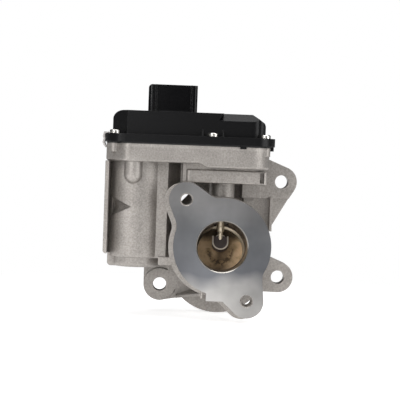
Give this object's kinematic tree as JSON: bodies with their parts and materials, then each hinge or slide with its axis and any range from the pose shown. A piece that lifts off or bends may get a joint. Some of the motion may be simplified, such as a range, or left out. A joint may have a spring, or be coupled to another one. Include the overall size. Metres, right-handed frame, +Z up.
{
  "type": "exhaust gas recirculation valve",
  "caption": "Motor driven flap valve that meters recirculated exhaust gas: a cast housing with two flanges, a motor pocket and a geared actuator under a plastic cover.",
  "frame": {"origin": "centre of the inlet bore on the machined inlet face", "axes": "+Y along the gas flow into the valve, +Z up towards the plug socket, +X away from the motor"},
  "size_m": [0.1302, 0.06, 0.1499],
  "materials": {
    "cast_aluminium": "as cast, fine grain, machined faces",
    "hard_steel": "ground",
    "bronze": "sintered",
    "black_rubber": "moulded",
    "spring_steel": "drawn",
    "black_plastic": "moulded, satin",
    "screw_steel": "zinc plated",
    "tinned_brass": "stamped, tinned",
    "board_green": "solder mask",
    "plated_steel": "zinc plated sheet",
    "magnet_grey": "sintered ferrite",
    "brown_plastic": "phenolic",
    "carbon": "pressed carbon",
    "laminated_steel": "stacked sheet",
    "copper": "copper",
    "gear_plastic": "natural moulded plastic",
    "heat_tinted_steel": "heat tinted, mottled"
  },
  "bodies": {
    "housing": {"valve_housing": "cast_aluminium", "seat_ring": "hard_steel", "lower_shaft_bush": "bronze", "shaft_seal": "black_rubber", "upper_shaft_bush": "bronze", "thrust_washer": "hard_steel", "return_spring": "spring_steel", "cover_gasket": "black_rubber", "gear_cover": "black_plastic", "cover_screws": "screw_steel", "side_clip": "spring_steel", "terminal_strips": "tinned_brass", "sensor_board": "board_green", "motor_can": "plated_steel", "motor_plate": "plated_steel", "motor_screws": "screw_steel", "motor_bushes": "bronze", "motor_magnets": "magnet_grey", "brush_card": "brown_plastic", "brushes": "carbon", "wave_washer": "spring_steel", "idler_pin": "hard_steel"},
    "rotor": {"motor_shaft": "hard_steel", "rotor_core": "laminated_steel", "rotor_windings": "copper", "commutator": "copper", "motor_pinion": "bronze"},
    "idler": {"idler_gear": "gear_plastic"},
    "flap": {"sector_gear": "gear_plastic", "sensor_magnet": "magnet_grey", "flap_shaft": "hard_steel", "flap_disc": "heat_tinted_steel", "flap_ring": "hard_steel"}
  },
  "joints": [
    {"name": "flap_turn", "type": "hinge", "parent": "housing", "child": "flap", "pos_m": [0, 0.0285, 0], "axis": [0, 0, 1], "range_deg": [0, 60], "stiffness_Nm_per_rad": 0.02, "springref_deg": -28.65},
    {"name": "idler_turn", "type": "hinge", "parent": "housing", "child": "idler", "pos_m": [-0.03178, 0.03224, 0], "axis": [0, 0, 1], "range_deg": [-214.79, 0.5]},
    {"name": "rotor_turn", "type": "hinge", "parent": "housing", "child": "rotor", "pos_m": [-0.0552, 0.027, 0], "axis": [0, 0, 1], "range_deg": [-0.5, 857.64]}
  ],
  "couplings": [
    {"joint": "idler_turn", "follows": "flap_turn", "ratio": -3.5714},
    {"joint": "rotor_turn", "follows": "flap_turn", "ratio": 14.286}
  ]
}
